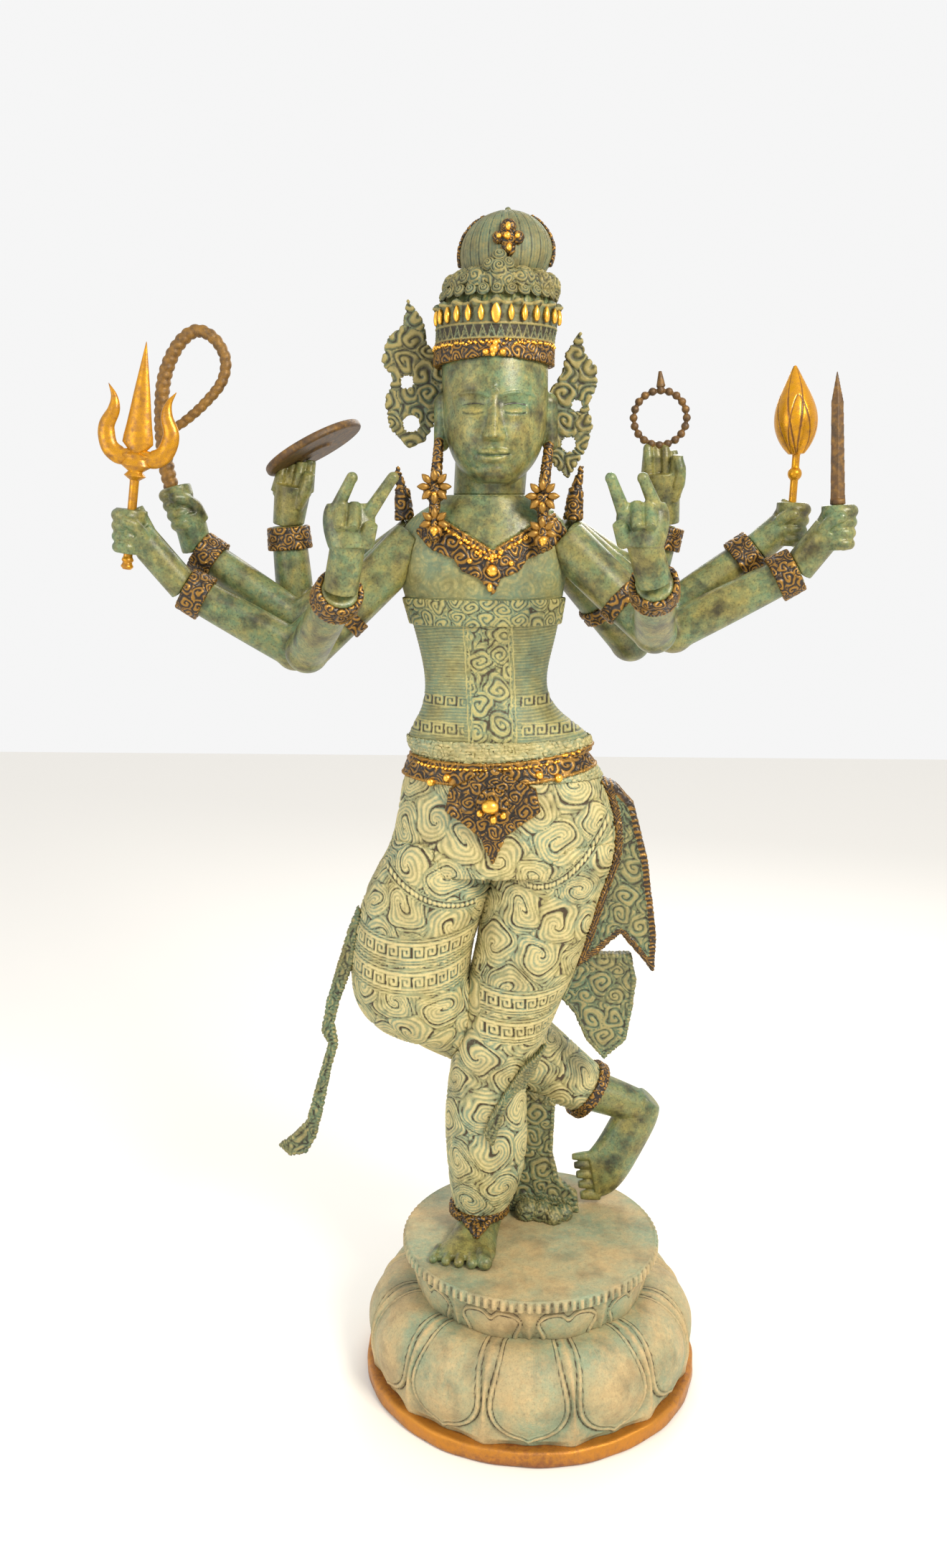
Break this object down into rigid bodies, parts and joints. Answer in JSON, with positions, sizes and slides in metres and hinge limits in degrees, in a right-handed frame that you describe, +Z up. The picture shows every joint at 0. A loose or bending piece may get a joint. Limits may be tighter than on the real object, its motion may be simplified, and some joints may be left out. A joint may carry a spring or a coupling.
{
  "type": "multi-armed deity statue",
  "caption": "Patinated cast brass figure of a many-armed deity, standing cross-legged on a round double-lotus base, with raised hands, crown and lift-out sword and lotus bud.",
  "frame": {"origin": "centre of the foot ring's underside, on the ground", "axes": "+Z up through the figure, -Y towards the front, which the figure faces, +X to its left side"},
  "size_m": [1.1438, 0.572, 1.9041],
  "materials": {
    "foot_brass": "bare brass, rubbed bright",
    "base_patina": "grey-green patina over tan brass",
    "green_skin": "smooth satin green patina",
    "engraved_cloth": "engraved, dark patina in the recesses",
    "green_scarf": "green patina with gold-brown borders",
    "gold_ornament": "chased antique brass, dark recesses",
    "green_ornament": "engraved green patina",
    "bright_brass": "polished brass",
    "brown_brass": "brown aged brass"
  },
  "bodies": {
    "figure": {"armlets_left": "gold_ornament", "armlets_right": "gold_ornament", "base_rim": "foot_brass", "belt": "gold_ornament", "belt_buckle": "gold_ornament", "bent_anklet": "gold_ornament", "bent_foot": "green_skin", "bent_leg": "engraved_cloth", "bracelets_left": "gold_ornament", "bracelets_right": "gold_ornament", "bust_band": "engraved_cloth", "collar": "gold_ornament", "curl_ring": "green_ornament", "deck_plate": "base_patina", "disc": "brown_brass", "disc_arm": "green_skin", "disc_hand": "green_skin", "ear_pendant_left": "gold_ornament", "ear_pendant_right": "gold_ornament", "ear_wing_left": "green_ornament", "ear_wing_right": "green_ornament", "front_arm_left": "green_skin", "front_arm_right": "green_skin", "front_hand_left": "green_skin", "front_hand_right": "green_skin", "gem_band": "gold_ornament", "hair_cap": "green_skin", "head": "green_skin", "headband": "gold_ornament", "hip_sash": "green_scarf", "hips": "engraved_cloth", "left_ribbon": "green_scarf", "lotus_arm": "green_skin", "lotus_hand": "green_skin", "lower_lotus": "base_patina", "lower_scarf": "green_scarf", "mala": "brown_brass", "mala_arm": "green_skin", "mala_hand": "green_skin", "noose": "brown_brass", "noose_arm": "green_skin", "noose_hand": "green_skin", "rear_panel": "green_scarf", "shoulder_horns": "gold_ornament", "standing_anklet": "gold_ornament", "standing_foot": "green_skin", "standing_leg": "engraved_cloth", "sword_arm": "green_skin", "sword_hand": "green_skin", "topknot": "green_ornament", "topknot_edging": "gold_ornament", "topknot_jewel": "gold_ornament", "torso": "engraved_cloth", "trident": "bright_brass", "trident_arm": "green_skin", "trident_hand": "green_skin", "upper_lotus": "base_patina"},
    "sword": {"sword": "brown_brass"},
    "lotus": {"lotus_bud": "bright_brass"}
  },
  "joints": [
    {"name": "sword_lift", "type": "slide", "parent": "figure", "child": "sword", "axis": [-0.0569, 0, 0.9984], "range_m": [0, 0.065]},
    {"name": "lotus_lift", "type": "slide", "parent": "figure", "child": "lotus", "axis": [0.035, 0, 0.9994], "range_m": [0, 0.08]}
  ]
}
